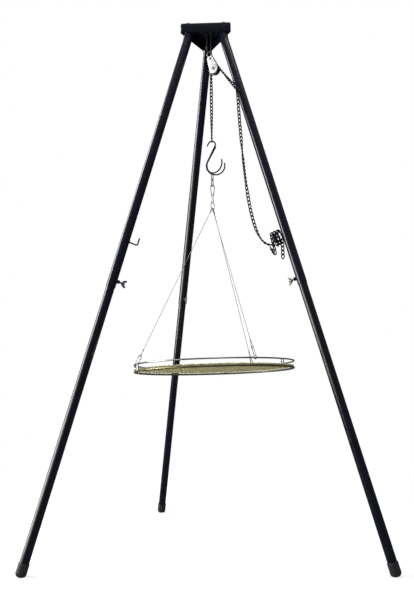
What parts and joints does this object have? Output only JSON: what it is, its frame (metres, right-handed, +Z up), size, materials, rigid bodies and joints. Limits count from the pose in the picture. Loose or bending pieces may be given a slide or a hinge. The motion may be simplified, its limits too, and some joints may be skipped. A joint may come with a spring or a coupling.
{
  "type": "tripod swing grill",
  "caption": "Tripod swing grill: telescopic tube legs under a triangular head plate, a chain over a pulley block, and a round mesh grate hanging on thin wires.",
  "frame": {"origin": "middle of the footprint's bounding box, at floor level", "axes": "+Z up; -Y towards the side that the picture shows, between the two front legs; +X to that side's right"},
  "size_m": [1.1976, 0.9826, 2.0155],
  "materials": {
    "black_paint": "semi-gloss",
    "dark_rod": "satin",
    "foot_plastic": "matt",
    "zinc_plate": "satin",
    "mesh_steel": "satin",
    "black_chain": "satin",
    "grate_plate": "polished",
    "wire_rope": "satin"
  },
  "bodies": {
    "head": {"head_plate": "black_paint", "u_bolt": "dark_rod", "u_bolt_nut_near": "black_paint", "u_bolt_nut_far": "black_paint", "leg_bolt_left": "black_paint", "leg_bolt_right": "black_paint", "leg_bolt_back": "black_paint"},
    "leg_left": {"upper_leg_left": "black_paint", "clamp_nut_left": "black_paint", "leg_hook_left": "black_paint"},
    "foot_left": {"lower_leg_left": "black_paint", "foot_plug_left": "foot_plastic"},
    "wing_left": {"wing_screw_left": "zinc_plate"},
    "leg_right": {"upper_leg_right": "black_paint", "clamp_nut_right": "black_paint", "leg_hook_right": "black_paint", "chain_eye": "black_paint", "chain_slack": "black_chain", "chain_hank": "black_chain", "chain_tail": "black_chain"},
    "foot_right": {"lower_leg_right": "black_paint", "foot_plug_right": "foot_plastic"},
    "wing_right": {"wing_screw_right": "zinc_plate"},
    "leg_back": {"upper_leg_back": "black_paint", "clamp_nut_back": "black_paint"},
    "foot_back": {"lower_leg_back": "black_paint", "foot_plug_back": "foot_plastic"},
    "wing_back": {"wing_screw_back": "zinc_plate"},
    "ring": {"shackle_ring": "zinc_plate"},
    "block": {"cheek_near": "zinc_plate", "cheek_far": "zinc_plate", "cheek_rivet": "zinc_plate", "sheave_pin": "zinc_plate", "chain_fall": "black_chain"},
    "sheave": {"sheave": "mesh_steel"},
    "chain_top": {"chain_top_link": "black_chain"},
    "chain_run": {"chain_hanging": "black_chain"},
    "chain_end": {"chain_end_link": "black_chain"},
    "hook": {"s_hook": "black_chain"},
    "hanger": {"hanger_link_upper": "black_chain", "hanger_link_lower": "black_chain", "top_snap_hook": "zinc_plate", "small_link": "zinc_plate"},
    "grate": {"wire_ring": "zinc_plate", "wire_left": "wire_rope", "wire_near": "wire_rope", "wire_far": "wire_rope", "rim_snap_left": "zinc_plate", "rim_snap_near": "zinc_plate", "rim_snap_far": "zinc_plate", "grate_rim": "grate_plate", "grate_mesh": "mesh_steel", "grate_rail": "grate_plate"},
    "top_gate": {"top_snap_gate": "zinc_plate"},
    "gate_left": {"rim_gate_left": "zinc_plate"},
    "gate_near": {"rim_gate_near": "zinc_plate"},
    "gate_far": {"rim_gate_far": "zinc_plate"}
  },
  "joints": [
    {"name": "leg_left_swivel", "type": "hinge", "parent": "head", "child": "leg_left", "pos_m": [-0.0705, -0.17861, 2.005], "axis": [0, 0, 1], "range_deg": [-30, 30]},
    {"name": "leg_left_slide", "type": "slide", "parent": "leg_left", "child": "foot_left", "axis": [-0.2523, -0.1456, -0.9566], "range_m": [-0.85, 0.03]},
    {"name": "wing_left_turn", "type": "hinge", "parent": "leg_left", "child": "wing_left", "pos_m": [-0.33156, -0.32933, 0.96], "axis": [0.8285, 0.4783, -0.2913], "continuous": true},
    {"name": "leg_right_swivel", "type": "hinge", "parent": "head", "child": "leg_right", "pos_m": [0.07061, -0.17861, 2.005], "axis": [0, 0, 1], "range_deg": [-30, 30]},
    {"name": "leg_right_slide", "type": "slide", "parent": "leg_right", "child": "foot_right", "axis": [0.2523, -0.1456, -0.9566], "range_m": [-0.85, 0.03]},
    {"name": "wing_right_turn", "type": "hinge", "parent": "leg_right", "child": "wing_right", "pos_m": [0.33168, -0.32933, 0.96], "axis": [-0.8285, 0.4783, -0.2913], "continuous": true},
    {"name": "leg_back_swivel", "type": "hinge", "parent": "head", "child": "leg_back", "pos_m": [0.00006, -0.05641, 2.005], "axis": [0, 0, 1], "range_deg": [-56, 4]},
    {"name": "leg_back_slide", "type": "slide", "parent": "leg_back", "child": "foot_back", "axis": [-0.1277, 0.2618, -0.9566], "range_m": [-0.85, 0.03]},
    {"name": "wing_back_turn", "type": "hinge", "parent": "leg_back", "child": "wing_back", "pos_m": [-0.13209, 0.21454, 0.96], "axis": [0.4194, -0.8598, -0.2913], "continuous": true},
    {"name": "ring_tilt", "type": "hinge", "parent": "head", "child": "ring", "pos_m": [0.01088, -0.14412, 1.904], "axis": [0.866, -0.5, 0], "range_deg": [-2, 2]},
    {"name": "block_swing", "type": "hinge", "parent": "ring", "child": "block", "pos_m": [0.02022, -0.14952, 1.8725], "axis": [0.5, 0.866, 0], "range_deg": [-1, 1], "deforming": ["chain_fall"]},
    {"name": "sheave_turn", "type": "hinge", "parent": "block", "child": "sheave", "pos_m": [0.03341, -0.15713, 1.82803], "axis": [0.5, 0.866, 0], "range_deg": [-1640, 265]},
    {"name": "chain_swing", "type": "hinge", "parent": "block", "child": "chain_top", "pos_m": [0.01825, -0.14838, 1.82803], "axis": [0.5, 0.866, 0], "range_deg": [-2, 2]},
    {"name": "chain_twist", "type": "hinge", "parent": "chain_top", "child": "chain_run", "pos_m": [0.01825, -0.14838, 1.81593], "axis": [0, 0, 1], "range_deg": [-180, 180]},
    {"name": "chain_lift", "type": "slide", "parent": "chain_run", "child": "chain_end", "axis": [0, 0, 1], "range_m": [-0.5, 0.08], "deforming": ["chain_hanging"]},
    {"name": "hook_swing", "type": "hinge", "parent": "chain_end", "child": "hook", "pos_m": [0.01825, -0.14838, 1.53425], "axis": [0, 1, 0], "range_deg": [-1.5, 1.5]},
    {"name": "hanger_swing", "type": "hinge", "parent": "hook", "child": "hanger", "pos_m": [0.01825, -0.14838, 1.39975], "axis": [1, 0, 0], "range_deg": [-1.5, 1.5]},
    {"name": "grate_swing", "type": "hinge", "parent": "hanger", "child": "grate", "pos_m": [0.01825, -0.14838, 1.2869], "axis": [0, 1, 0], "range_deg": [-1.5, 1.5]},
    {"name": "top_gate_open", "type": "hinge", "parent": "hanger", "child": "top_gate", "pos_m": [0.02535, -0.14838, 1.3411], "axis": [0, 1, 0], "range_deg": [0, 14], "stiffness_Nm_per_rad": 0.02, "springref_deg": -5.73},
    {"name": "gate_left_open", "type": "hinge", "parent": "grate", "child": "gate_left", "pos_m": [-0.27072, -0.14758, 0.68837], "axis": [-0.0156, -0.9999, 0.0063], "range_deg": [0, 14], "stiffness_Nm_per_rad": 0.02, "springref_deg": -5.73},
    {"name": "gate_near_open", "type": "hinge", "parent": "grate", "child": "gate_near", "pos_m": [0.16175, -0.39654, 0.70664], "axis": [0.8653, 0.5012, -0.0004], "range_deg": [0, 14], "stiffness_Nm_per_rad": 0.02, "springref_deg": -5.73},
    {"name": "gate_far_open", "type": "hinge", "parent": "grate", "child": "gate_far", "pos_m": [0.16212, 0.10223, 0.68702], "axis": [-0.8751, 0.4839, 0.0003], "range_deg": [0, 14], "stiffness_Nm_per_rad": 0.02, "springref_deg": -5.73}
  ],
  "couplings": [
    {"joint": "sheave_turn", "follows": "chain_lift", "rad_per_m": 57.143}
  ]
}
